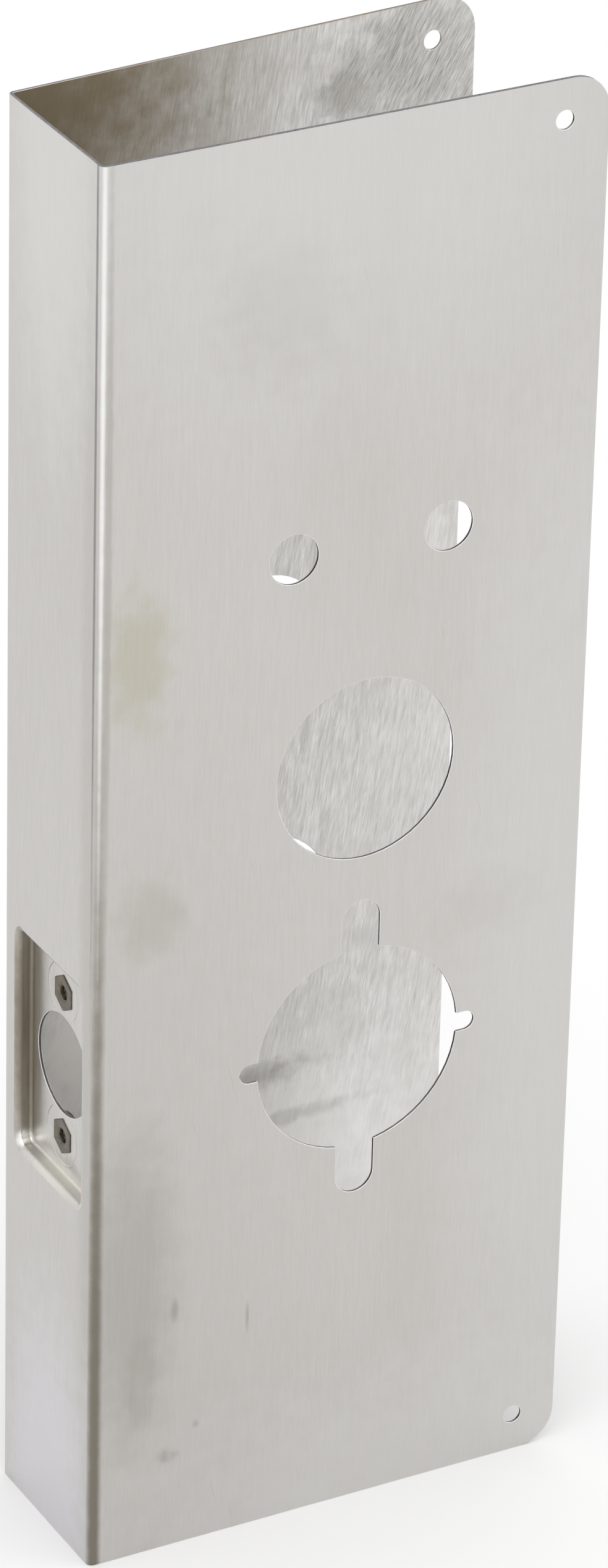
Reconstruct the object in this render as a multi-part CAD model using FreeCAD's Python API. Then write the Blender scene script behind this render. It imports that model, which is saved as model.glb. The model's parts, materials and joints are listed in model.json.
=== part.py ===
import FreeCAD, Part
import math
import os

# Door reinforcer: a folded stainless sheet that wraps the edge of a door round a lock.
# Millimetres. X runs from the door's edge into the door, Y through its thickness, Z up.
# The origin is the middle of the box round the plate, on its bottom edge. The shapes are drawn
# about the middle of the spine and shifted to that origin when they are written.

# Door and sheet
door_thickness = 44.45
door_clearance = 0.475
sheet = 0.8
bend_radius = 0.8
plate_height = 368.3
flange_depth = 129.4
free_corner_radius = 9.5

# The back flange ends short of the front one, and stands open until screws close it
back_edge_step = 3.9
back_opening = 4.0

# Lock hole in the front flange, with a notch at each quarter
backset = 69.85
lock_hole_height = 127.5
lock_hole_diameter = 54.0
through_bolt_spacing = 69.85
bolt_notch_width = 10.2
side_notch_spacing = 58.4
side_notch_width = 5.0

# Upper hole in the front flange, and the pair of small holes through both flanges
upper_hole_rise = 75.2
upper_hole_diameter = 47.0
pair_rise = 58.8
pair_spacing = 40.5
pair_hole_diameter = 12.7

# The back flange's own two holes are plain, smaller, and sit higher than the front ones
back_hole_lift = 11.0
back_lower_hole_diameter = 41.2
back_upper_hole_diameter = 32.0

# Screw holes beside the free corners
screw_hole_diameter = 4.8
screw_edge_inset = 11.7
screw_end_inset = 10.2

# Recess drawn into the spine for the latch's face plate
recess_width = 33.0
recess_height = 59.0
recess_depth = 4.0
recess_corner_radius = 2.6
recess_lip_radius = 0.8
recess_floor_radius = 0.8
latch_hole_diameter = 26.2

# Nuts pressed into the recess floor for the latch's screws
latch_screw_spacing = 39.2
nut_across_flats = 8.4
nut_stand_out = 0.3
nut_shoulder_diameter = 11.4
nut_shoulder_thickness = 1.6
thread_bore_diameter = 3.5
thread_mouth_diameter = 4.4

# Worked out from the sizes above
plate_width = door_thickness + 2 * door_clearance + 2 * sheet
outer_radius = bend_radius + sheet
opening = math.radians(back_opening)
back_flange_depth = flange_depth - back_edge_step
back_run = back_flange_depth - outer_radius
back_depth = outer_radius * (1 - math.sin(opening)) + back_run * math.cos(opening)
back_spread = outer_radius * (math.cos(opening) - 1) + back_run * math.sin(opening)
overall_depth = max(flange_depth, back_depth + sheet * math.sin(opening))
spine_x = -overall_depth / 2
free_edge_x = spine_x + flange_depth
back_free_x = spine_x + back_depth
hole_line_x = spine_x + sheet + backset
upper_hole_height = lock_hole_height + upper_hole_rise
pair_height = upper_hole_height + pair_rise
recess_floor_x = spine_x + recess_depth
recess_back_x = recess_floor_x + sheet
nut_heights = {
    "upper_latch_nut": lock_hole_height + latch_screw_spacing / 2,
    "lower_latch_nut": lock_hole_height - latch_screw_spacing / 2,
}

along_x = FreeCAD.Vector(1, 0, 0)
along_y = FreeCAD.Vector(0, 1, 0)
along_z = FreeCAD.Vector(0, 0, 1)


def point(x, y, z=0.0):
    return FreeCAD.Vector(x, y, z)


def bend_arc(centre_x, centre_y, radius, start, end):
    """A bend seen from above, from one angle to another in degrees."""
    angles = [math.radians(angle) for angle in (start, (start + end) / 2, end)]
    spots = [
        point(centre_x + radius * math.cos(angle), centre_y + radius * math.sin(angle))
        for angle in angles
    ]
    return Part.Arc(*spots).toShape()


def channel_skin(half_width, face_x, radius):
    """One face of the folded sheet seen from above, from free edge to free edge."""
    bend_x = face_x + radius
    bend_y = half_width - radius
    outwards = point(-math.sin(opening), math.cos(opening))
    back_start = point(bend_x, bend_y) + outwards * radius
    back_end = back_start + outwards.cross(along_z) * back_run
    return [
        Part.makeLine(point(free_edge_x, -half_width), point(bend_x, -half_width)),
        bend_arc(bend_x, -bend_y, radius, 270, 180),
        Part.makeLine(point(face_x, -bend_y), point(face_x, bend_y)),
        bend_arc(bend_x, bend_y, radius, 180, 90 + back_opening),
        Part.makeLine(back_start, back_end),
    ]


def folded_channel():
    """The sheet bent twice: two flat flanges and the spine that joins them."""
    outer_half = plate_width / 2
    inner_half = outer_half - sheet
    outer_skin = channel_skin(outer_half, spine_x, outer_radius)
    inner_skin = channel_skin(inner_half, spine_x + sheet, bend_radius)
    front_end = Part.makeLine(point(free_edge_x, -inner_half), point(free_edge_x, -outer_half))
    back_end = Part.makeLine(
        outer_skin[-1].Vertexes[-1].Point, inner_skin[-1].Vertexes[-1].Point
    )
    edges = outer_skin + inner_skin + [front_end, back_end]
    section = Part.Wire(Part.__sortEdges__(edges))
    return Part.Face(section).extrude(along_z * plate_height)


def round_free_corners(channel):
    """The four corners of the flanges' free edges are rounded off."""
    slack = 1e-3
    corners = [
        edge
        for edge in channel.Edges
        if abs(edge.Length - sheet) < slack and edge.BoundBox.ZLength < slack
    ]
    return channel.makeFillet(free_corner_radius, corners)


def rounded_block(near_x, far_x, half_width, half_height, radius):
    """A block at the lock hole's height whose four edges along X are rounded."""
    corner = point(near_x, -half_width, lock_hole_height - half_height)
    block = Part.makeBox(far_x - near_x, 2 * half_width, 2 * half_height, corner)
    long_edges = [edge for edge in block.Edges if edge.BoundBox.XLength > 1e-3]
    return block.makeFillet(radius, long_edges)


def outline_edges(shape, plane_x, half_width, half_height):
    """The edges that lie in one upright plane, on or inside the recess outline."""
    slack = 1e-3
    near = FreeCAD.Vector(
        plane_x - slack, -half_width - slack, lock_hole_height - half_height - slack
    )
    far = FreeCAD.Vector(
        plane_x + slack, half_width + slack, lock_hole_height + half_height + slack
    )
    room = FreeCAD.BoundBox(near, far)
    return [edge for edge in shape.Edges if room.isInside(edge.BoundBox)]


def draw_recess(channel):
    """The spine is drawn inwards to a flat floor and keeps the sheet's thickness.

    At the lip and at the floor the two faces of the sheet turn about one centre.
    """
    half_width = recess_width / 2
    half_height = recess_height / 2
    back_half_width = half_width + sheet
    back_half_height = half_height + sheet
    pan = rounded_block(
        spine_x + sheet / 2,
        recess_back_x,
        back_half_width,
        back_half_height,
        recess_corner_radius + sheet,
    )
    pocket = rounded_block(
        spine_x - sheet, recess_floor_x, half_width, half_height, recess_corner_radius
    )
    drawn = channel.fuse(pan).cut(pocket).removeSplitter()
    turns = [
        (spine_x, half_width, half_height, recess_lip_radius + sheet),
        (spine_x + sheet, back_half_width, back_half_height, recess_lip_radius),
        (recess_floor_x, half_width, half_height, recess_floor_radius),
        (recess_back_x, back_half_width, back_half_height, recess_floor_radius + sheet),
    ]
    for plane_x, reach_y, reach_z, radius in turns:
        drawn = drawn.makeFillet(radius, outline_edges(drawn, plane_x, reach_y, reach_z))
    return drawn


def flange_hole(x, z, diameter):
    """A round hole straight through both flanges."""
    start = point(x, -plate_width, z)
    return Part.makeCylinder(diameter / 2, 2 * plate_width, start, along_y)


def screw_hole(x, z, side):
    """A screw hole through one flange: the front one where side is -1, the back one where 1."""
    start = point(x, 0, z)
    return Part.makeCylinder(screw_hole_diameter / 2, plate_width, start, along_y * side)


def front_hole(x, z, diameter):
    """A round hole through the front flange."""
    return Part.makeCylinder(diameter / 2, plate_width, point(x, 0, z), -along_y)


def back_hole(z, diameter):
    """A round hole through the back flange, square to it, as far from the fold as the lock hole."""
    outwards = point(-math.sin(opening), math.cos(opening))
    bend = point(spine_x + outer_radius, plate_width / 2 - outer_radius, z)
    run = hole_line_x - spine_x - outer_radius
    centre = bend + outwards * bend_radius + outwards.cross(along_z) * run
    return Part.makeCylinder(diameter / 2, 3 * sheet, centre - outwards * sheet, outwards)


def lock_notches(spacing, width, direction):
    """Two notches with round ends in the front flange, on opposite sides of the lock hole."""
    centre = point(hole_line_x, 0, lock_hole_height)
    across = direction.cross(along_y) * (width / 2)
    reach = direction * (spacing / 2)
    corners = [centre + reach + across, centre + reach - across]
    corners += [centre - reach - across, centre - reach + across]
    slot = Part.Face(Part.makePolygon(corners + corners[:1])).extrude(-along_y * plate_width)
    ends = [centre + reach, centre - reach]
    return [slot] + [front_hole(end.x, end.z, width) for end in ends]


def flange_cuts():
    """Everything that is cut through the flanges."""
    cuts = [
        front_hole(hole_line_x, lock_hole_height, lock_hole_diameter),
        front_hole(hole_line_x, upper_hole_height, upper_hole_diameter),
        back_hole(lock_hole_height + back_hole_lift, back_lower_hole_diameter),
        back_hole(upper_hole_height + back_hole_lift, back_upper_hole_diameter),
    ]
    cuts += lock_notches(through_bolt_spacing, bolt_notch_width, along_z)
    cuts += lock_notches(side_notch_spacing, side_notch_width, along_x)
    for side in (-1, 1):
        pair_x = hole_line_x + side * pair_spacing / 2
        cuts.append(flange_hole(pair_x, pair_height, pair_hole_diameter))
    front_screw_x = free_edge_x - screw_edge_inset
    back_screw_x = back_free_x - screw_edge_inset * math.cos(opening)
    for screw_z in (screw_end_inset, plate_height - screw_end_inset):
        cuts.append(screw_hole(front_screw_x, screw_z, -1))
        cuts.append(screw_hole(back_screw_x, screw_z, 1))
    return cuts


def hexagon(near_x, far_x, z):
    """A hexagonal bar along X with one corner up and two upright flats."""
    radius = nut_across_flats / math.sqrt(3)
    corners = []
    for step in range(7):
        angle = math.radians(60 * step)
        corners.append(point(near_x, radius * math.sin(angle), z + radius * math.cos(angle)))
    return Part.Face(Part.makePolygon(corners)).extrude(along_x * (far_x - near_x))


def floor_cuts():
    """The latch hole and the hexagonal seats of the nuts, through the recess floor."""
    start = point(recess_floor_x - sheet, 0, lock_hole_height)
    cuts = [Part.makeCylinder(latch_hole_diameter / 2, 3 * sheet, start, along_x)]
    for z in nut_heights.values():
        cuts.append(hexagon(recess_floor_x - sheet, recess_back_x + sheet, z))
    return cuts


def wrap_plate():
    plate = draw_recess(round_free_corners(folded_channel()))
    for cut in flange_cuts() + floor_cuts():
        plate = plate.cut(cut)
    return plate.removeSplitter()


def latch_nut(z):
    """A nut whose hexagon fills its seat and whose round shoulder bears on the floor's back."""
    face_x = recess_floor_x - nut_stand_out
    end_x = recess_back_x + nut_shoulder_thickness
    shoulder = Part.makeCylinder(
        nut_shoulder_diameter / 2, nut_shoulder_thickness, point(recess_back_x, 0, z), along_x
    )
    body = hexagon(face_x, recess_back_x, z).fuse(shoulder)
    bore = Part.makeCylinder(
        thread_bore_diameter / 2, end_x - face_x, point(face_x, 0, z), along_x
    )
    lead = (thread_mouth_diameter - thread_bore_diameter) / 2
    mouth = Part.makeCone(
        thread_mouth_diameter / 2, thread_bore_diameter / 2, lead, point(face_x, 0, z), along_x
    )
    return body.cut(bore).cut(mouth)


def write_node(name, shape):
    solid = shape.translated(point(0, -back_spread / 2)).Solids[0]
    print(name, "solids", len(shape.Solids), "valid", solid.isValid(), "mm3", round(solid.Volume, 1))
    solid.exportStep("parts/" + name + ".step")


os.makedirs("parts", exist_ok=True)
write_node("wrap_plate", wrap_plate())
for nut_name, nut_height in nut_heights.items():
    write_node(nut_name, latch_nut(nut_height))
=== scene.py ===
import json
import math

import bmesh
import bpy
from mathutils import Matrix, Vector


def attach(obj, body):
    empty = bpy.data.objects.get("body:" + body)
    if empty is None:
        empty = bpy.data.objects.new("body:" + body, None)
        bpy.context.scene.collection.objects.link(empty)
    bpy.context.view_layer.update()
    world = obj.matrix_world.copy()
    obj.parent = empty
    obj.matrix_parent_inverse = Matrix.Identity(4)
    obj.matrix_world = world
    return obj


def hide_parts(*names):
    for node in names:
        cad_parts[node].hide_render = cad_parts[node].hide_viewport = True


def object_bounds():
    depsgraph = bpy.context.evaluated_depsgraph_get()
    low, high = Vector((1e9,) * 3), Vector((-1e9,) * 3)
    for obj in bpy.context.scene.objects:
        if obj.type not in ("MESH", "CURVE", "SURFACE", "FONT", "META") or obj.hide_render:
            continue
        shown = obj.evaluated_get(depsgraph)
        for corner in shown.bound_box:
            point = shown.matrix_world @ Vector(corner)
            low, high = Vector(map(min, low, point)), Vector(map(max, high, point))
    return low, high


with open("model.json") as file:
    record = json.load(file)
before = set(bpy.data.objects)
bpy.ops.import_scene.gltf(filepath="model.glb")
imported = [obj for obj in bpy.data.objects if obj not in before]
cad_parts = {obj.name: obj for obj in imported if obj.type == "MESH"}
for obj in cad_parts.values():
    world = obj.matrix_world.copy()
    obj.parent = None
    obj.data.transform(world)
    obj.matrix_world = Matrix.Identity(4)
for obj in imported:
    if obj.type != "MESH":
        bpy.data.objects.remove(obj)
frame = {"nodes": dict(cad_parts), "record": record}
cadLow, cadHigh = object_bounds()

# Places that the plate's own mounts give, in metres
mounts = {mount["name"]: mount for mount in frame["record"]["mounts"]}
latchPlace = Vector(mounts["latch_bore"]["pos_m"])
latchRadius = mounts["latch_bore"]["dims"]["r_mm"] / 1000
floorX = mounts["latch_plate_seat"]["pos_m"][0]
nutPlaces = {
    "upper_latch_nut": Vector(mounts["upper_latch_thread"]["pos_m"]),
    "lower_latch_nut": Vector(mounts["lower_latch_thread"]["pos_m"]),
}
spineMiddleY = latchPlace.y
frontFaceY = cadLow.y
spineFaceX = cadLow.x
plateHeight = cadHigh.z
print("frame loaded", [round(v * 1000, 2) for v in (spineFaceX, frontFaceY, plateHeight)])


# Small helpers for node trees and meshes

def addNode(tree, kind, values=None, **settings):
    node = tree.nodes.new(kind)
    for name, value in settings.items():
        setattr(node, name, value)
    for name, value in (values or {}).items():
        if isinstance(value, bpy.types.NodeSocket):
            tree.links.new(value, node.inputs[name])
        else:
            node.inputs[name].default_value = value
    return node


def newGroup(name, inputs, outputs):
    tree = bpy.data.node_groups.new(name, "ShaderNodeTree")
    for label, (kind, value) in inputs.items():
        socket = tree.interface.new_socket(name=label, in_out="INPUT", socket_type="NodeSocket" + kind)
        socket.default_value = value
    for label, kind in outputs.items():
        tree.interface.new_socket(name=label, in_out="OUTPUT", socket_type="NodeSocket" + kind)
    groupIn = tree.nodes.new("NodeGroupInput")
    groupOut = tree.nodes.new("NodeGroupOutput")
    return tree, groupIn.outputs, groupOut.inputs


def useGroup(tree, group, values=None):
    node = addNode(tree, "ShaderNodeGroup", node_tree=group)
    for name, value in (values or {}).items():
        if isinstance(value, bpy.types.NodeSocket):
            tree.links.new(value, node.inputs[name])
        else:
            node.inputs[name].default_value = value
    return node.outputs


def maths(tree, operation, first, second=None, clamp=False):
    node = addNode(tree, "ShaderNodeMath", operation=operation, use_clamp=clamp)
    for place, value in enumerate((first, second)):
        if isinstance(value, bpy.types.NodeSocket):
            tree.links.new(value, node.inputs[place])
        elif value is not None:
            node.inputs[place].default_value = value
    return node.outputs[0]


def fromTo(tree, value, low, high, newLow=0.0, newHigh=1.0, smooth=True):
    node = addNode(tree, "ShaderNodeMapRange", {
        "Value": value,
        "From Min": low,
        "From Max": high,
        "To Min": newLow,
        "To Max": newHigh,
    }, interpolation_type="SMOOTHSTEP" if smooth else "LINEAR")
    return node.outputs["Result"]


def blendColour(tree, amount, first, second, mode="MIX"):
    node = addNode(tree, "ShaderNodeMix", data_type="RGBA", blend_type=mode)
    for place, value in ((0, amount), (6, first), (7, second)):
        if isinstance(value, bpy.types.NodeSocket):
            tree.links.new(value, node.inputs[place])
        else:
            node.inputs[place].default_value = value
    return node.outputs[2]


# Shader groups that several finishes share

def makeBrushedGrain():
    group, given, out = newGroup(
        "brushedGrain",
        {"acrossPerMm": ("Float", 3.0), "alongPerMm": ("Float", 0.05), "lean": ("Float", 0.0),
         "seed": ("Float", 0.0)},
        {"fine": "Float", "coarse": "Float"},
    )
    place = addNode(group, "ShaderNodeTexCoord").outputs["Object"]
    leaning = addNode(group, "ShaderNodeVectorRotate", {
        "Vector": place,
        "Angle": given["lean"],
    }, rotation_type="Y_AXIS")
    inMm = addNode(group, "ShaderNodeVectorMath", {
        0: leaning.outputs[0],
        1: (1000, 1000, 1000),
    }, operation="MULTIPLY")
    stretch = addNode(group, "ShaderNodeCombineXYZ", {
        "X": given["acrossPerMm"],
        "Y": given["acrossPerMm"],
        "Z": given["alongPerMm"],
    })
    streaked = addNode(group, "ShaderNodeVectorMath", {
        0: inMm.outputs[0],
        1: stretch.outputs[0],
    }, operation="MULTIPLY")
    for label, scale, detail in (("fine", 1.0, 3.0), ("coarse", 0.3, 3.0)):
        noise = addNode(group, "ShaderNodeTexNoise", {
            "Vector": streaked.outputs[0],
            "W": given["seed"],
            "Scale": scale,
            "Detail": detail,
            "Roughness": 0.62,
        }, noise_dimensions="4D")
        group.links.new(fromTo(group, noise.outputs["Fac"], 0.28, 0.72, smooth=False), out[label])
    return group


def makeSoftStains():
    group, given, out = newGroup(
        "softStains",
        {"perMetre": ("Float", 30.0), "tallness": ("Float", 0.5), "from": ("Float", 0.45),
         "to": ("Float", 0.75), "seed": ("Float", 0.0)},
        {"mask": "Float", "cloud": "Float"},
    )
    place = addNode(group, "ShaderNodeTexCoord").outputs["Object"]
    stretch = addNode(group, "ShaderNodeCombineXYZ", {"X": 1.0, "Y": 1.0, "Z": given["tallness"]})
    stretched = addNode(group, "ShaderNodeVectorMath", {
        0: place,
        1: stretch.outputs[0],
    }, operation="MULTIPLY")
    noise = addNode(group, "ShaderNodeTexNoise", {
        "Vector": stretched.outputs[0],
        "W": given["seed"],
        "Scale": given["perMetre"],
        "Detail": 5.0,
        "Roughness": 0.55,
        "Distortion": 0.25,
    }, noise_dimensions="4D")
    group.links.new(fromTo(group, noise.outputs["Fac"], given["from"], given["to"]), out["mask"])
    group.links.new(noise.outputs["Fac"], out["cloud"])
    return group


def makeLocalStain():
    group, given, out = newGroup(
        "localStain",
        {"centre": ("Vector", (0, 0, 0)), "halfSize": ("Vector", (0.01, 0.01, 0.01)),
         "raggedness": ("Float", 0.5), "seed": ("Float", 0.0)},
        {"mask": "Float"},
    )
    place = addNode(group, "ShaderNodeTexCoord").outputs["Object"]
    away = addNode(group, "ShaderNodeVectorMath", {0: place, 1: given["centre"]}, operation="SUBTRACT")
    scaled = addNode(group, "ShaderNodeVectorMath", {
        0: away.outputs[0],
        1: given["halfSize"],
    }, operation="DIVIDE")
    reach = addNode(group, "ShaderNodeVectorMath", {0: scaled.outputs[0]}, operation="LENGTH")
    noise = addNode(group, "ShaderNodeTexNoise", {
        "Vector": place,
        "W": given["seed"],
        "Scale": 170.0,
        "Detail": 5.0,
        "Roughness": 0.6,
    }, noise_dimensions="4D")
    evened = maths(group, "SUBTRACT", noise.outputs["Fac"], 0.5)
    wobble = maths(group, "MULTIPLY", evened, given["raggedness"])
    edge = maths(group, "ADD", reach.outputs["Value"], maths(group, "MULTIPLY", wobble, 2.0))
    group.links.new(fromTo(group, edge, 1.0, 0.25), out["mask"])
    return group


def makeFineScratches():
    group, given, out = newGroup(
        "fineScratches",
        {"lean": ("Float", 0.2), "acrossPerMm": ("Float", 1.6), "alongPerMm": ("Float", 0.035),
         "sparseness": ("Float", 0.7), "seed": ("Float", 0.0)},
        {"mask": "Float"},
    )
    place = addNode(group, "ShaderNodeTexCoord").outputs["Object"]
    leaning = addNode(group, "ShaderNodeVectorRotate", {
        "Vector": place,
        "Angle": given["lean"],
    }, rotation_type="Y_AXIS")
    stretch = addNode(group, "ShaderNodeCombineXYZ", {
        "X": given["acrossPerMm"],
        "Y": given["acrossPerMm"],
        "Z": given["alongPerMm"],
    })
    streaked = addNode(group, "ShaderNodeVectorMath", {
        0: leaning.outputs[0],
        1: stretch.outputs[0],
    }, operation="MULTIPLY")
    lines = addNode(group, "ShaderNodeTexNoise", {
        "Vector": streaked.outputs[0],
        "W": given["seed"],
        "Scale": 1000.0,
        "Detail": 1.0,
    }, noise_dimensions="4D")
    patches = addNode(group, "ShaderNodeTexNoise", {
        "Vector": leaning.outputs[0],
        "W": given["seed"],
        "Scale": 60.0,
        "Detail": 2.0,
    }, noise_dimensions="4D")
    lineEnd = maths(group, "ADD", given["sparseness"], 0.06)
    thin = fromTo(group, lines.outputs["Fac"], given["sparseness"], lineEnd)
    here = fromTo(group, patches.outputs["Fac"], 0.5, 0.62)
    group.links.new(maths(group, "MULTIPLY", thin, here), out["mask"])
    return group


brushedGrain = makeBrushedGrain()
softStains = makeSoftStains()
localStain = makeLocalStain()
fineScratches = makeFineScratches()
print("shader groups", [group.name for group in bpy.data.node_groups])


# One brushed stainless finish, with its own tone, grain and marks for each face of the sheet

def makeSteel(name, look):
    material = bpy.data.materials.new(name)
    material.use_nodes = True
    tree = material.node_tree
    tree.nodes.clear()
    grain = useGroup(tree, brushedGrain, {
        "acrossPerMm": look["grainAcross"],
        "alongPerMm": look["grainAlong"],
        "lean": look["grainLean"],
        "seed": look["seed"],
    })
    clouds = useGroup(tree, softStains, {
        "perMetre": look["cloudsPerMetre"],
        "tallness": look["cloudTallness"],
        "seed": look["seed"] + 3.1,
    })
    scratches = useGroup(tree, fineScratches, {
        "lean": look["scratchLean"],
        "sparseness": look["scratchSparseness"],
        "seed": look["seed"] + 7.7,
    })["mask"]
    streaks = blendColour(tree, look["coarseShare"], grain["fine"], grain["coarse"])
    colour = blendColour(tree, streaks, look["streakDark"], look["streakLight"])
    cloudy = maths(tree, "MULTIPLY", clouds["mask"], look["cloudStrength"])
    colour = blendColour(tree, cloudy, colour, look["cloudColour"])
    rough = fromTo(tree, streaks, 0.0, 1.0, look["roughHigh"], look["roughLow"], smooth=False)
    rough = maths(tree, "ADD", rough, maths(tree, "MULTIPLY", clouds["mask"], look["cloudRough"]))
    for mark in look["marks"]:
        stain = useGroup(tree, localStain, {
            "centre": mark["centre"],
            "halfSize": mark["halfSize"],
            "raggedness": mark["raggedness"],
            "seed": mark["seed"],
        })["mask"]
        amount = maths(tree, "MULTIPLY", stain, mark["strength"])
        if mark["broken"]:
            broken = fromTo(tree, grain["coarse"], 0.1, 0.8, 1.0 - mark["broken"], 1.0, smooth=False)
            amount = maths(tree, "MULTIPLY", amount, broken)
        colour = blendColour(tree, amount, colour, mark["colour"])
        rough = maths(tree, "ADD", rough, maths(tree, "MULTIPLY", stain, mark["rough"]), clamp=True)
    height = maths(tree, "MULTIPLY", streaks, look["grainDepth"])
    for scuff in look["scuffs"]:
        # a place rubbed across the grain, with its own slanted streaks
        rubbed = useGroup(tree, brushedGrain, {
            "acrossPerMm": scuff["across"],
            "alongPerMm": scuff["along"],
            "lean": scuff["lean"],
            "seed": scuff["seed"],
        })["fine"]
        here = useGroup(tree, localStain, {
            "centre": scuff["centre"],
            "halfSize": scuff["halfSize"],
            "raggedness": scuff["raggedness"],
            "seed": scuff["seed"] + 1.3,
        })["mask"]
        tone = blendColour(tree, rubbed, scuff["dark"], scuff["light"])
        colour = blendColour(tree, maths(tree, "MULTIPLY", here, scuff["strength"]), colour, tone)
        cut = maths(tree, "MULTIPLY", maths(tree, "MULTIPLY", rubbed, here), scuff["depth"])
        height = maths(tree, "ADD", height, cut)
    colour = blendColour(tree, maths(tree, "MULTIPLY", scratches, look["scratchStrength"]), colour,
                         look["scratchColour"])
    height = maths(tree, "SUBTRACT", height, maths(tree, "MULTIPLY", scratches, look["scratchDepth"]))
    height = maths(tree, "ADD", height, maths(tree, "MULTIPLY", clouds["cloud"], look["waveDepth"]))
    bump = addNode(tree, "ShaderNodeBump", {"Height": height, "Strength": 1.0, "Distance": 0.001})
    shader = addNode(tree, "ShaderNodeBsdfPrincipled", {
        "Base Color": colour,
        "Metallic": 1.0,
        "Roughness": rough,
        "Normal": bump.outputs["Normal"],
    })
    output = addNode(tree, "ShaderNodeOutputMaterial", {"Surface": shader.outputs[0]})
    output.location = (900, 0)
    return material


def mmPlace(x, y, z):
    return (x / 1000, y / 1000, z / 1000)


# The folded sheet: the CAD mesh welded, its cut edges eased and its faces sorted by finish

sheetSizes = {
    "weld": 1e-6,
    "flatWithin": math.radians(0.4),
    "edgeEase": 0.00013,
    "easeSteps": 2,
    "sharpOver": math.radians(42),
    "outerBend": 0.0016,
    "recessHalfWidth": 0.0181,
    "recessHalfHeight": 0.0311,
    "recessDepth": 0.0050,
}

frontY = frontFaceY * 1000
spineX = spineFaceX * 1000
middleY = spineMiddleY * 1000
topZ = plateHeight * 1000


def markAt(centre, halfSize, colour, strength, raggedness=0.6, broken=0.3, rough=0.04, seed=2.0):
    return {
        "centre": mmPlace(*centre),
        "halfSize": mmPlace(*halfSize),
        "colour": tuple(colour) + (1,),
        "strength": strength,
        "raggedness": raggedness,
        "broken": broken,
        "rough": rough,
        "seed": seed,
    }


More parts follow.
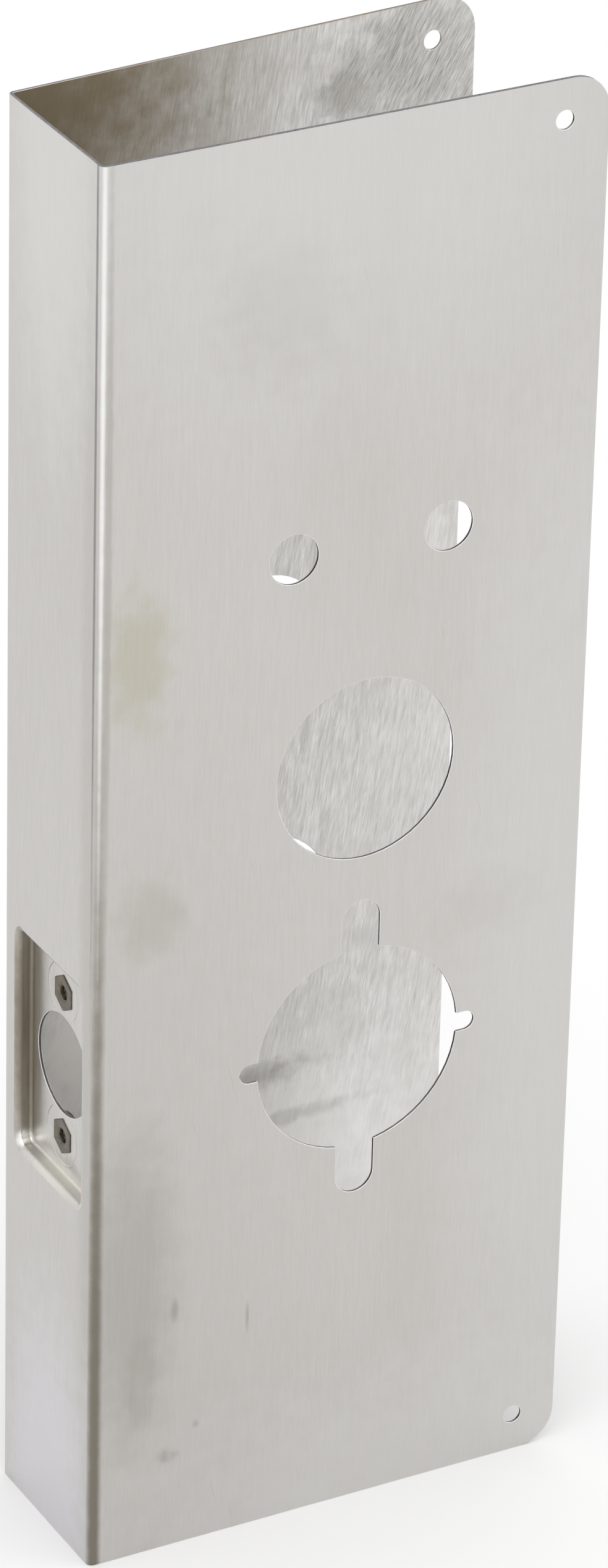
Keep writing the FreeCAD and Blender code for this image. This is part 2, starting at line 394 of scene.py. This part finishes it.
satinLook = {
    "seed": 1.0,
    "grainAcross": 4.4,
    "grainAlong": 0.17,
    "grainLean": 0.0,
    "coarseShare": 0.3,
    "streakDark": (0.535, 0.519, 0.495, 1),
    "streakLight": (0.600, 0.585, 0.562, 1),
    "roughLow": 0.30,
    "roughHigh": 0.39,
    "grainDepth": 0.0014,
    "waveDepth": 0.05,
    "cloudsPerMetre": 26.0,
    "cloudTallness": 0.45,
    "cloudColour": (0.505, 0.485, 0.458, 1),
    "cloudStrength": 0.28,
    "cloudRough": 0.04,
    "scratchLean": 0.26,
    "scratchSparseness": 0.72,
    "scratchColour": (0.40, 0.385, 0.36, 1),
    "scratchStrength": 0.3,
    "scratchDepth": 0.004,
    "scuffs": [],
    "marks": [
        # yellowish stain beside the fold
        markAt((-54, frontY, 244), (11, 8, 26), (0.46, 0.43, 0.32), 0.6, seed=2.0),
        # broad grey smudge near the top
        markAt((-19, frontY, 326), (24, 8, 27), (0.43, 0.41, 0.40), 0.38, seed=5.0),
        # brownish place left of the lock hole
        markAt((-50, frontY, 176), (13, 8, 15), (0.40, 0.37, 0.31), 0.42, seed=8.0),
        # long low smudge beside the fold
        markAt((-54, frontY, 76), (17, 8, 62), (0.345, 0.322, 0.290), 0.62,
               raggedness=0.35, broken=0.3, seed=11.0),
        markAt((-51.5, frontY, 50), (6, 6, 22), (0.34, 0.318, 0.288), 0.4,
               raggedness=0.6, broken=0.4, seed=12.0),
        # small scuffs low on the front
        markAt((-42.2, frontY, 67), (1.4, 4, 5.5), (0.20, 0.192, 0.178), 0.55,
               raggedness=0.6, broken=0.3, seed=61.0),
        markAt((-22.4, frontY, 60), (0.8, 4, 6.5), (0.26, 0.25, 0.235), 0.55,
               raggedness=0.6, broken=0.3, seed=62.0),
        markAt((-44, frontY, 26), (4.5, 4, 2.6), (0.24, 0.23, 0.215), 0.55,
               raggedness=1.0, broken=0.6, seed=63.0),
        markAt((-36, frontY, 33), (1.2, 4, 1.6), (0.24, 0.235, 0.22), 0.5,
               raggedness=0.6, broken=0.3, seed=64.0),
        # painted shade: lower half of the front darker towards the fold
        markAt((-60, frontY, 90), (70, 12, 190), (0.47, 0.455, 0.435), 0.30,
               raggedness=0.3, broken=0.1, seed=13.0),
        # faint handling mark by the free edge
        markAt((40, frontY, 159), (20, 8, 13), (0.44, 0.42, 0.39), 0.26, raggedness=0.8, seed=14.0),
        # painted light: paler top of the front and of the spine, a brighter reflection painted in
        markAt((0, frontY, 378), (120, 14, 110), (0.66, 0.652, 0.635), 0.55,
               raggedness=0.2, broken=0.0, seed=17.0),
        markAt((spineX, middleY, 372), (6, 34, 120), (0.70, 0.69, 0.665), 0.75,
               raggedness=0.2, broken=0.0, seed=19.0),
        # painted light: paler, cooler foot of the spine
        markAt((spineX, middleY, 6), (6, 34, 80), (0.70, 0.685, 0.72), 0.7,
               raggedness=0.3, broken=0.0, seed=20.0),
        # painted light: paler lower edge and free side of the front
        markAt((20, frontY, -16), (110, 12, 70), (0.66, 0.65, 0.64), 0.6,
               raggedness=0.3, broken=0.0, seed=21.0),
        markAt((66, frontY, 140), (52, 12, 230), (0.65, 0.64, 0.62), 0.45,
               raggedness=0.3, broken=0.0, seed=23.0),
        # tarnish on the spine beside the fold
        markAt((spineX, -24, 210), (5, 6, 190), (0.44, 0.42, 0.39), 0.35,
               raggedness=0.4, broken=0.3, seed=22.0),
        # the fold itself as painted reflection: painted shade low down, a painted highlight above with a
        # dark line on its spine side
        markAt((-63.4, -27.4, 0), (2.4, 2.1, 300), (0.215, 0.195, 0.160), 1.0,
               raggedness=0.15, broken=0.0, seed=24.0),
        markAt((-64.75, -26.0, 300), (0.55, 0.8, 190), (0.22, 0.21, 0.205), 0.85,
               raggedness=0.2, broken=0.0, seed=26.0),
        markAt((-63.7, -27.5, 330), (0.8, 0.7, 200), (0.88, 0.88, 0.87), 0.85, raggedness=0.2, broken=0.1,
               rough=-0.06, seed=28.0),
        # soft painted shade on the front beside the fold's painted highlight
        markAt((-62.1, frontY, 270), (1.3, 0.7, 150), (0.36, 0.34, 0.31), 0.5,
               raggedness=0.4, broken=0.2, seed=29.0),
    ],
}

millLook = dict(satinLook, **{
    "seed": 31.0,
    "grainAcross": 2.1,
    "grainAlong": 0.2,
    "grainLean": -0.16,
    "coarseShare": 0.35,
    "streakDark": (0.520, 0.505, 0.480, 1),
    "streakLight": (1.0, 0.995, 0.985, 1),
    "roughLow": 0.32,
    "roughHigh": 0.48,
    "grainDepth": 0.006,
    "cloudsPerMetre": 60.0,
    "cloudTallness": 1.6,
    "cloudColour": (0.66, 0.64, 0.61, 1),
    "cloudStrength": 0.55,
    "scratchLean": -0.5,
    "scuffs": [
        # scuffed corner at the top of the back flange
        {"centre": mmPlace(48, 25, 354), "halfSize": mmPlace(37, 16, 27), "raggedness": 0.7, "across": 2.8,
         "along": 0.2, "lean": -0.52, "dark": (0.23, 0.225, 0.205, 1), "light": (0.70, 0.69, 0.665, 1),
         "strength": 0.9, "depth": 0.01, "seed": 41.0},
    ],
    "marks": [
        # brown tarnish down the fold, from the top
        markAt((-70, 18, 385), (84, 40, 120), (0.27, 0.21, 0.125), 0.92,
               raggedness=0.3, broken=0.05, seed=34.0),
        # painted light: paler low half of the back flange
        markAt((10, 24, 60), (90, 20, 60), (0.88, 0.875, 0.86), 0.8,
               raggedness=0.3, broken=0.0, rough=-0.04,
               seed=36.0),
        # dark rub just above it
        markAt((2, 24, 92), (30, 14, 5), (0.36, 0.345, 0.33), 0.7, raggedness=0.8, broken=0.5, seed=38.0),
        markAt((16, 24, 78), (30, 14, 3), (0.48, 0.46, 0.44), 0.5, raggedness=0.9, broken=0.5, seed=39.0),
        markAt((-8, 24, 176), (16, 14, 14), (0.42, 0.41, 0.40), 0.5, raggedness=0.9, broken=0.6, seed=43.0),
        # greyer free side of the back flange
        markAt((58, 26, 200), (44, 20, 280), (0.56, 0.55, 0.53), 0.5,
               raggedness=0.3, broken=0.3, seed=44.0),
        # dark start of the scuffed corner
        markAt((24, 24, 350), (9, 12, 9), (0.30, 0.28, 0.25), 0.7, raggedness=1.0, broken=0.6, seed=45.0),
        # painted light: near-white place of the back flange, seen through the latch hole
        markAt((-49, 24, 112), (24, 12, 34), (1.0, 0.985, 0.96), 1.0, raggedness=0.3, broken=0.0, rough=0.1,
               seed=46.0),
    ],
})

edgeLook = dict(satinLook, **{
    "seed": 51.0,
    "grainAcross": 2.0,
    "grainAlong": 1.4,
    "streakDark": (0.11, 0.105, 0.115, 1),
    "streakLight": (0.27, 0.26, 0.27, 1),
    "roughLow": 0.25,
    "roughHigh": 0.5,
    "grainDepth": 0.012,
    "waveDepth": 0.01,
    "cloudStrength": 0.5,
    "cloudColour": (0.34, 0.29, 0.22, 1),
    "cloudsPerMetre": 160.0,
    "marks": [],
})

# rims of holes and cut edges: burnished metal, with the base raised well above the sheet's as a painted
# highlight
rimLook = dict(edgeLook, **{
    "seed": 61.0,
    "streakDark": (0.70, 0.69, 0.675, 1),
    "streakLight": (0.93, 0.925, 0.92, 1),
    "roughLow": 0.18,
    "roughHigh": 0.34,
    "cloudStrength": 0.35,
    "marks": [
        # dark line of the front's upper edge, brown one of the back's
        markAt((0, frontY, topZ), (300, 6, 2.2), (0.12, 0.115, 0.125), 0.95,
               raggedness=0.3, broken=0.2, seed=65.0),
        markAt((0, 26, topZ), (300, 12, 2.2), (0.42, 0.30, 0.19), 0.9,
               raggedness=0.3, broken=0.2, seed=66.0),
        markAt((spineX, middleY, topZ), (4, 40, 2.2), (0.20, 0.19, 0.19), 0.85,
               raggedness=0.3, broken=0.2, seed=67.0),
    ],
})

recessLook = dict(satinLook, **{
    "seed": 71.0,
    "grainAcross": 3.2,
    "grainAlong": 0.16,
    "streakDark": (0.520, 0.503, 0.478, 1),
    "streakLight": (0.610, 0.595, 0.572, 1),
    "roughLow": 0.22,
    "roughHigh": 0.34,
    "waveDepth": 0.08,
    "cloudsPerMetre": 90.0,
    "cloudTallness": 0.8,
    "cloudStrength": 0.3,
    "marks": [
        # rub mark in the lower corner of the recess
        markAt((floorX * 1000, middleY - 4, 101.5), (3, 5, 4), (0.40, 0.37, 0.34), 0.35,
               raggedness=0.8, seed=74.0),
        # painted shade: soft darker band of the floor beside the back wall
        markAt((floorX * 1000, middleY + 14.5, 127.5), (2, 4, 60), (0.36, 0.335, 0.29), 0.5, seed=76.0),
        # tarnished back wall
        markAt((spineX + 2.4, middleY + 16.3, 131), (7, 4.2, 58), (0.25, 0.218, 0.160), 0.9,
               raggedness=0.25, broken=0.2, rough=0.32, seed=78.0),
        # painted light: pale upward-facing lower wall
        markAt((spineX + 2.2, middleY - 1, 98.6), (7, 26, 3.6), (0.80, 0.78, 0.73), 0.95,
               raggedness=0.25, broken=0.15, rough=0.30, seed=79.0),
        # painted highlight: bright spot in the lower corner
        markAt((spineX + 1.6, middleY + 15.8, 99.4), (3.2, 2.6, 3.0), (0.97, 0.96, 0.94), 0.95,
               raggedness=0.5, broken=0.0, rough=-0.5, seed=80.0),
    ],
})

finishNames = ["satinOutside", "millInside", "shearedEdge", "pressedRecess", "burnishedRim"]


def finishOf(centre, normal):
    inRecess = (
        centre.x < spineFaceX + sheetSizes["recessDepth"]
        and abs(centre.y - spineMiddleY) < sheetSizes["recessHalfWidth"]
        and abs(centre.z - latchPlace.z) < sheetSizes["recessHalfHeight"]
    )
    if inRecess:
        fromLatch = math.hypot(centre.y - latchPlace.y, centre.z - latchPlace.z)
        onRim = abs(normal.x) < 0.2 and fromLatch < latchRadius + 0.0001
        return "shearedEdge" if onRim else "pressedRecess"
    if abs(normal.z) > 0.5:
        return "shearedEdge"
    if centre.x > spineFaceX + sheetSizes["outerBend"]:
        if abs(normal.y) < 0.7:
            return "shearedEdge"
        outside = (centre.y - spineMiddleY) * normal.y > 0
        return "satinOutside" if outside else "millInside"
    fromMiddle = Vector((centre.x - (spineFaceX + 0.012), centre.y - spineMiddleY))
    outside = fromMiddle.x * normal.x + fromMiddle.y * normal.y > 0
    return "satinOutside" if outside else "millInside"


def makeSheet():
    work = bmesh.new()
    work.from_mesh(frame["nodes"]["wrap_plate"].data)
    bmesh.ops.remove_doubles(work, verts=work.verts, dist=sheetSizes["weld"])
    for face in work.faces:
        face.material_index = finishNames.index(finishOf(face.calc_center_median(), face.normal))
        face.smooth = True
    bmesh.ops.dissolve_limit(
        work,
        angle_limit=sheetSizes["flatWithin"],
        verts=work.verts,
        edges=work.edges,
        delimit={"MATERIAL"},
    )
    mesh = bpy.data.meshes.new("foldedSheet")
    work.to_mesh(mesh)
    work.free()
    for name in finishNames:
        mesh.materials.append(bpy.data.materials[name])
    mesh.set_sharp_from_angle(angle=sheetSizes["sharpOver"])
    piece = bpy.data.objects.new("foldedSheet", mesh)
    bpy.context.scene.collection.objects.link(piece)
    ease = piece.modifiers.new("easedEdges", "BEVEL")
    ease.width = sheetSizes["edgeEase"]
    ease.segments = sheetSizes["easeSteps"]
    ease.limit_method = "ANGLE"
    ease.angle_limit = sheetSizes["sharpOver"]
    ease.use_clamp_overlap = False
    ease.miter_outer = "MITER_SHARP"
    # the eased edges take the rim finish, burnished metal with a painted highlight
    ease.material = finishNames.index("burnishedRim")
    level = piece.modifiers.new("flatNormals", "WEIGHTED_NORMAL")
    level.keep_sharp = False
    level.weight = 100
    return piece


for finish, look in zip(finishNames, (satinLook, millLook, edgeLook, recessLook, rimLook)):
    makeSteel(finish, look)
foldedSheet = makeSheet()
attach(foldedSheet, "root")
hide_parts("wrap_plate")
print("folded sheet", len(foldedSheet.data.polygons), "faces")


# The two pressed-in nuts, with chamfered hexagons and cut threads

nutSizes = {
    "acrossFlats": 0.0084,
    "standOut": 0.0003,
    "cornerChamfer": 0.00016,
    "shoulderRadius": 0.0057,
    "shoulderThickness": 0.0016,
    "shoulderChamfer": 0.0002,
    "sheetThickness": 0.0008,
    "crestRadius": 0.00175,
    "threadDepth": 0.00036,
    "mouthRadius": 0.0022,
    "pitch": 0.0008,
    "turnsSteps": 10,
    "steps": 96,
}

nutLook = dict(satinLook, **{
    "seed": 91.0,
    "grainAcross": 2.6,
    "grainAlong": 2.2,
    "streakDark": (0.085, 0.074, 0.060, 1),
    "streakLight": (0.190, 0.172, 0.148, 1),
    "roughLow": 0.26,
    "roughHigh": 0.46,
    "grainDepth": 0.008,
    "waveDepth": 0.02,
    "cloudsPerMetre": 420.0,
    "cloudTallness": 1.0,
    "cloudColour": (0.27, 0.21, 0.13, 1),
    "cloudStrength": 0.6,
    "cloudRough": 0.08,
    "scratchStrength": 0.2,
    "marks": [],
})


def hexReach(angle, inset=0.0):
    # distance from the axis to the hexagon's side, one corner straight up
    side = nutSizes["acrossFlats"] / 2 - inset
    turned = (angle % (math.pi / 3)) - math.pi / 6
    return side / math.cos(turned)


def nutRings():
    face = floorX - nutSizes["standOut"]
    back = floorX + nutSizes["sheetThickness"]
    end = back + nutSizes["shoulderThickness"]
    chamfer = nutSizes["cornerChamfer"]
    ease = nutSizes["shoulderChamfer"]
    wide = nutSizes["shoulderRadius"]
    crest = nutSizes["crestRadius"]
    mouth = nutSizes["mouthRadius"]
    lead = mouth - crest
    rings = [
        (face, lambda angle: mouth + 0.00012),
        (face, lambda angle: hexReach(angle, chamfer)),
        (face + chamfer * 0.7, lambda angle: hexReach(angle)),
        (back, lambda angle: hexReach(angle)),
        (back, lambda angle: wide - ease),
        (back + ease, lambda angle: wide),
        (end - ease, lambda angle: wide),
        (end, lambda angle: wide - ease),
        (end, lambda angle: mouth),
        (end - lead * 0.8, lambda angle: crest + 0.00005),
    ]
    first = end - lead
    last = face + lead
    count = int((first - last) / nutSizes["pitch"] * nutSizes["turnsSteps"])
    for step in range(1, count):
        along = first + (last - first) * step / count
        fade = min(1.0, 4 * step / count, 4 * (count - step) / count)

        def cutRadius(angle, along=along, fade=fade):
            phase = (along / nutSizes["pitch"] + angle / math.tau) % 1.0
            groove = max(0.0, min(1.0, 1.35 - abs(phase - 0.5) * 3.6))
            return crest + nutSizes["threadDepth"] * groove * fade

        rings.append((along, cutRadius))
    rings.append((face + lead * 0.85, lambda angle: crest + 0.00005))
    rings.append((face + 0.00003, lambda angle: mouth + 0.00004))
    return rings


def makeNut(node, place):
    work = bmesh.new()
    loops = []
    for along, reach in nutRings():
        loop = []
        for step in range(nutSizes["steps"]):
            angle = math.tau * step / nutSizes["steps"]
            radius = reach(angle)
            spot = (along, place.y + radius * math.sin(angle), place.z + radius * math.cos(angle))
            loop.append(work.verts.new(spot))
        loops.append(loop)
    loops.append(loops[0])
    for near, far in zip(loops, loops[1:]):
        for step in range(nutSizes["steps"]):
            after = (step + 1) % nutSizes["steps"]
            work.faces.new((near[step], near[after], far[after], far[step]))
    bmesh.ops.recalc_face_normals(work, faces=work.faces)
    for face in work.faces:
        face.smooth = True
    mesh = bpy.data.meshes.new(node + "Detailed")
    work.to_mesh(mesh)
    work.free()
    mesh.materials.append(bpy.data.materials["darkNutSteel"])
    mesh.set_sharp_from_angle(angle=math.radians(28))
    piece = bpy.data.objects.new(node + "_detailed", mesh)
    bpy.context.scene.collection.objects.link(piece)
    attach(piece, "root")
    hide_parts(node)
    return piece


makeSteel("darkNutSteel", nutLook)
nuts = [makeNut(node, place) for node, place in nutPlaces.items()]
print("nuts", [len(nut.data.polygons) for nut in nuts])


# Faint rings that the press left round each nut, cut off by the latch hole

ringSizes = {
    "inner": 0.0070,
    "outer": 0.0081,
    "height": 0.00015,
    "sunk": 0.00003,
    "steps": 160,
    "profileSteps": 8,
    "clearOfLatch": 0.00035,
}


def makePressRing(name, place):
    work = bmesh.new()
    rows = []
    for step in range(ringSizes["steps"]):
        angle = math.tau * step / ringSizes["steps"]
        row = []
        for part in range(ringSizes["profileSteps"] + 1):
            share = part / ringSizes["profileSteps"]
            radius = ringSizes["inner"] + (ringSizes["outer"] - ringSizes["inner"]) * share
            lift = ringSizes["height"] * math.sin(math.pi * share) ** 2
            y = place.y + radius * math.sin(angle)
            z = place.z + radius * math.cos(angle)
            fromLatch = math.hypot(y - latchPlace.y, z - latchPlace.z)
            room = (fromLatch - latchRadius - ringSizes["clearOfLatch"]) / 0.0012
            lift *= max(0.0, min(1.0, room))
            row.append((work.verts.new((floorX + ringSizes["sunk"] - lift, y, z)), room))
        rows.append(row)
    for step, row in enumerate(rows):
        after = rows[(step + 1) % len(rows)]
        for part in range(ringSizes["profileSteps"]):
            corners = [row[part], row[part + 1], after[part + 1], after[part]]
            if min(room for vert, room in corners) > 0:
                work.faces.new([vert for vert, room in corners])
    loose = [vert for vert in work.verts if not vert.link_faces]
    bmesh.ops.delete(work, geom=loose, context="VERTS")
    bmesh.ops.recalc_face_normals(work, faces=work.faces)
    if work.faces[0].normal.x > 0:
        bmesh.ops.reverse_faces(work, faces=work.faces)
    for face in work.faces:
        face.smooth = True
    mesh = bpy.data.meshes.new(name)
    work.to_mesh(mesh)
    work.free()
    mesh.materials.append(bpy.data.materials["pressedRecess"])
    piece = bpy.data.objects.new(name, mesh)
    bpy.context.scene.collection.objects.link(piece)
    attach(piece, "root")
    return piece


for node, place in nutPlaces.items():
    makePressRing(node.replace("latch_nut", "press_ring"), place)
print("press rings made")


# Pale studio floor, soft lights and the photograph's view

studio = {
    "floorHalf": 6.0,
    "floorTone": (0.90, 0.90, 0.90, 1),
    "worldTone": (1.0, 1.0, 1.0, 1),
    "worldStrength": 1.0,
    "lights": [
        {"name": "overheadPanel", "place": (-0.6, -0.9, 2.2), "size": 2.4, "watts": 12.0},
        {"name": "rightPanel", "place": (2.0, -1.0, 1.6), "size": 1.8, "watts": 6.0},
    ],
}


def makeFloor():
    work = bmesh.new()
    half = studio["floorHalf"]
    bmesh.ops.create_grid(work, x_segments=12, y_segments=12, size=half)
    bmesh.ops.translate(work, verts=work.verts, vec=(0, 0, cadLow.z))
    mesh = bpy.data.meshes.new("studioFloor")
    work.to_mesh(mesh)
    work.free()
    material = bpy.data.materials.new("palePaper")
    material.use_nodes = True
    tree = material.node_tree
    shader = tree.nodes["Principled BSDF"]
    cloud = useGroup(tree, softStains, {
        "perMetre": 3.0,
        "tallness": 1.0,
        "from": 0.3,
        "to": 0.8,
        "seed": 91.0,
    })
    low = tuple(value * 0.985 for value in studio["floorTone"][:3]) + (1,)
    tree.links.new(blendColour(tree, cloud["mask"], studio["floorTone"], low), shader.inputs["Base Color"])
    shader.inputs["Roughness"].default_value = 0.9
    shader.inputs["Specular IOR Level"].default_value = 0.1
    mesh.materials.append(material)
    floor = bpy.data.objects.new("studioFloor", mesh)
    bpy.context.scene.collection.objects.link(floor)


def makeLights():
    world = bpy.data.worlds.new("whiteRoom")
    world.use_nodes = True
    world.node_tree.nodes["Background"].inputs["Color"].default_value = studio["worldTone"]
    world.node_tree.nodes["Background"].inputs["Strength"].default_value = studio["worldStrength"]
    bpy.context.scene.world = world
    aim = Vector((0, 0, plateHeight / 2))
    for panel in studio["lights"]:
        lamp = bpy.data.lights.new(panel["name"], "AREA")
        lamp.shape = "SQUARE"
        lamp.size = panel["size"]
        lamp.energy = panel["watts"]
        holder = bpy.data.objects.new(panel["name"], lamp)
        holder.location = panel["place"]
        holder.rotation_euler = (aim - holder.location).to_track_quat("-Z", "Y").to_euler()
        bpy.context.scene.collection.objects.link(holder)


cameraView = {
    "place": mmPlace(-751.497, -1369.864, 1022.683),
    "azimuth": math.radians(-28.9089),
    "elevation": math.radians(28.1471),
    "roll": math.radians(1.407),
    "lensMm": 171.676,
    "longSideMm": 36.0,
}


def makeCamera():
    turn, lift, roll = cameraView["azimuth"], cameraView["elevation"], cameraView["roll"]
    backward = Vector((math.sin(turn) * math.cos(lift), -math.cos(turn) * math.cos(lift), math.sin(lift)))
    level = Vector((math.cos(turn), math.sin(turn), 0))
    upright = backward.cross(level)
    right = level * math.cos(roll) + upright * math.sin(roll)
    up = upright * math.cos(roll) - level * math.sin(roll)
    camera = bpy.data.cameras.new("photoCamera")
    camera.sensor_fit = "AUTO"
    camera.sensor_width = cameraView["longSideMm"]
    camera.lens = cameraView["lensMm"]
    camera.clip_start = 0.05
    camera.clip_end = 50
    holder = bpy.data.objects.new("photoCamera", camera)
    holder.matrix_world = Matrix((
        (right.x, up.x, backward.x, cameraView["place"][0]),
        (right.y, up.y, backward.y, cameraView["place"][1]),
        (right.z, up.z, backward.z, cameraView["place"][2]),
        (0, 0, 0, 1),
    ))
    bpy.context.scene.collection.objects.link(holder)
    bpy.context.scene.camera = holder


makeFloor()
makeLights()
makeCamera()
bpy.context.scene.view_settings.view_transform = "Standard"
print("studio ready")
